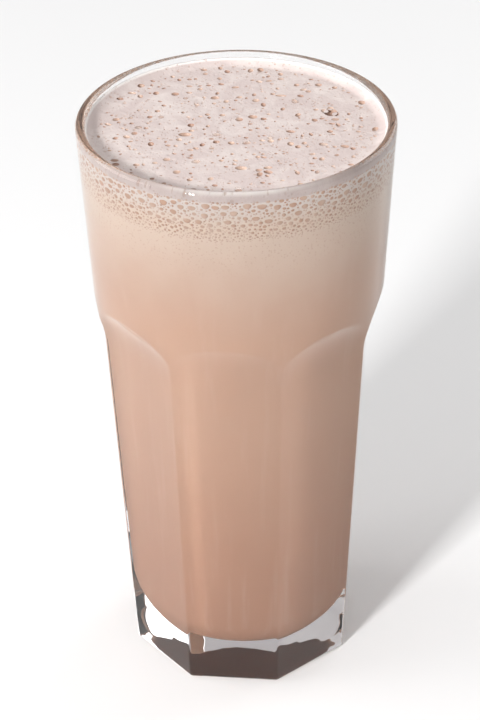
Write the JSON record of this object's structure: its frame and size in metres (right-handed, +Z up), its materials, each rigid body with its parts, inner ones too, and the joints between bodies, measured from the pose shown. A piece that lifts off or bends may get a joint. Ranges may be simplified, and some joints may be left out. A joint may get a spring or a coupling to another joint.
{
  "type": "chocolate milkshake in a glass",
  "caption": "Chocolate milkshake with a bubbly froth head, filled nearly to the rim of a tall clear tumbler with flat facets and an octagonal foot.",
  "frame": {"origin": "centre of the foot, on the surface that the glass stands on", "axes": "+Z up along the glass's axis, the middle of one facet faces -Y"},
  "size_m": [0.0718, 0.0718, 0.14],
  "materials": {
    "glass": "polished clear pressed glass",
    "milkshake": "smooth creamy light chocolate liquid, drawn as an opaque matte finish",
    "froth": "pale beige foam with open bubbles, drawn as an opaque matte finish"
  },
  "bodies": {
    "root": {"glass": "glass", "milkshake": "milkshake", "froth": "froth"}
  },
  "joints": []
}
